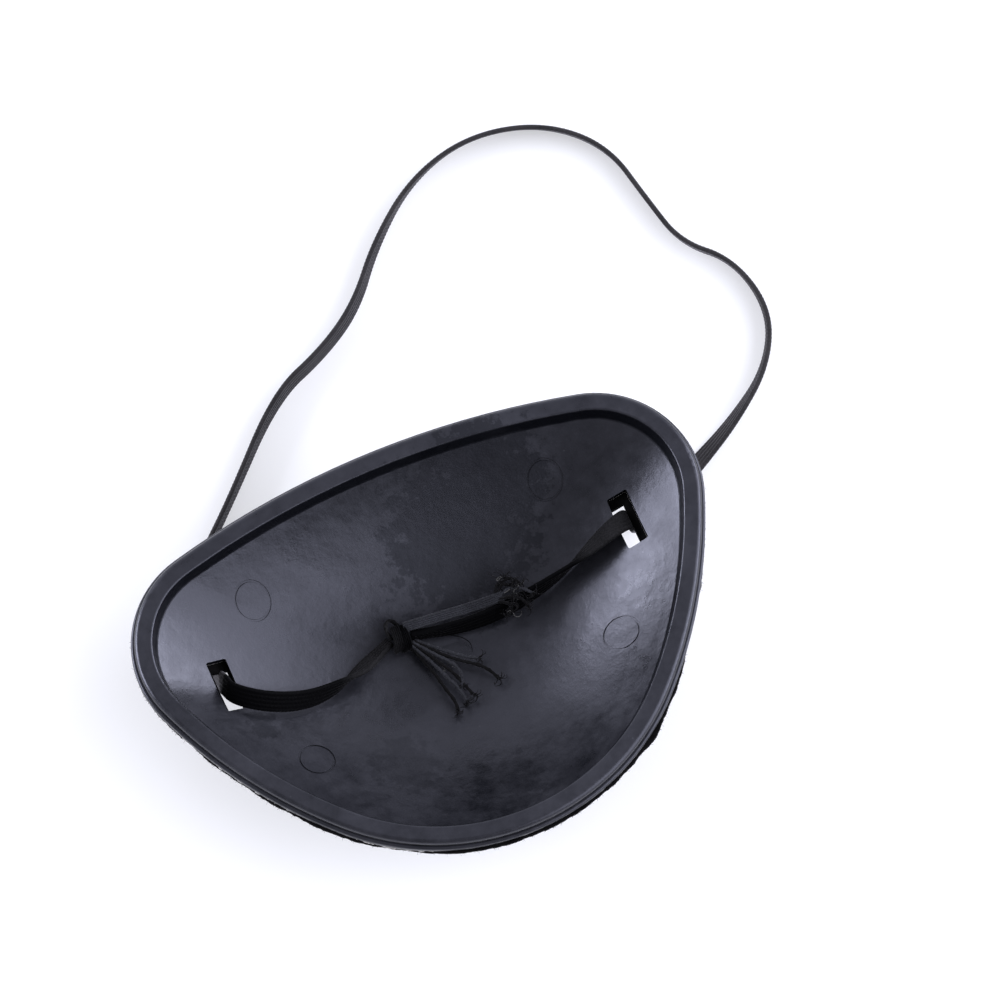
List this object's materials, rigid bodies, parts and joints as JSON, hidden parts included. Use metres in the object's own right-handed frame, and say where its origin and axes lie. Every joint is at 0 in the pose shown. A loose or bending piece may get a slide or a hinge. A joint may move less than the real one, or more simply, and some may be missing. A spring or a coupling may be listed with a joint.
{
  "type": "eye patch",
  "caption": "Costume eye patch: a shallow moulded cup with a flat lip, felt on its convex side, and a flat elastic loop knotted through two slots.",
  "frame": {"origin": "middle of the patch's box, at the surface it lies on, hollow side up; the elastic is not counted", "axes": "+X from slot to slot, +Y towards the straighter top edge, +Z out of the hollow, towards the wearer's face"},
  "size_m": [0.1005, 0.0974, 0.0173],
  "materials": {
    "black_plastic": "satin moulded",
    "black_felt": "needled felt",
    "clear_glue": "dried adhesive",
    "black_elastic": "flat braid"
  },
  "bodies": {
    "root": {"shell": "black_plastic", "felt_cover": "black_felt", "glue_film": "clear_glue", "elastic_loop": "black_elastic", "elastic_left": "black_elastic", "elastic_right": "black_elastic", "elastic_knot": "black_elastic", "elastic_upper_tail": "black_elastic", "elastic_lower_tail": "black_elastic"}
  },
  "joints": []
}
